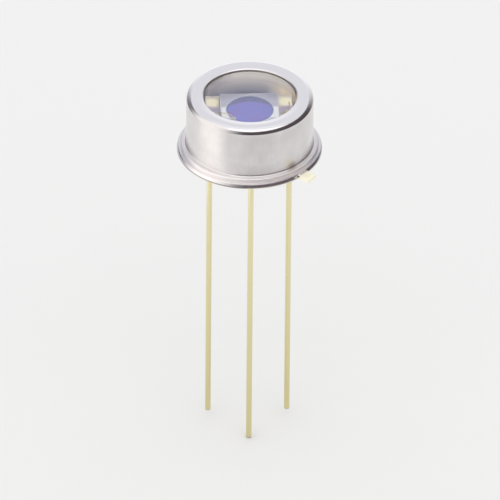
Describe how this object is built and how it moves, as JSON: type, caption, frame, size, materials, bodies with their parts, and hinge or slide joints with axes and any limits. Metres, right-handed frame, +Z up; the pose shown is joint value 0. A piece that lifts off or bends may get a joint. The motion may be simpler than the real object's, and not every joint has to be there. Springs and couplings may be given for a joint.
{
  "type": "pin photodiode",
  "caption": "Round metal-can photodiode: a silicon chip behind a flat glass window in a drawn cap, on a flanged header with an index tab and straight wire leads.",
  "frame": {"origin": "centre of the header's underside, on the seating plane", "axes": "+Z up through the window, along the leads; -X towards the anode lead, +X towards the cathode lead, -Y towards the case lead"},
  "size_m": [0.0092, 0.0092, 0.0249],
  "materials": {
    "nickel_cap": "satin",
    "gold_header": "satin",
    "gold_leads": "satin",
    "window_glass": "polished",
    "solder_glass": "gloss",
    "bead_glass": "gloss",
    "braze": "satin",
    "bond_layer": "matte",
    "alumina": "matte",
    "gold_film": "satin",
    "silicon": "gloss",
    "aluminium_film": "polished",
    "antireflection_film": "polished",
    "gold_wire": "gloss"
  },
  "bodies": {
    "root": {"header": "gold_header", "cap": "nickel_cap", "window": "window_glass", "window_seal": "solder_glass", "lead_anode": "gold_leads", "lead_cathode": "gold_leads", "lead_case": "gold_leads", "glass_seal_anode": "bead_glass", "glass_seal_cathode": "bead_glass", "case_lead_braze": "braze", "carrier_bond": "bond_layer", "ceramic_carrier": "alumina", "carrier_pad": "gold_film", "die_attach": "bond_layer", "photodiode_chip": "silicon", "chip_electrode": "aluminium_film", "active_area": "antireflection_film", "bond_wire_anode": "gold_wire", "bond_wire_cathode": "gold_wire"}
  },
  "joints": []
}
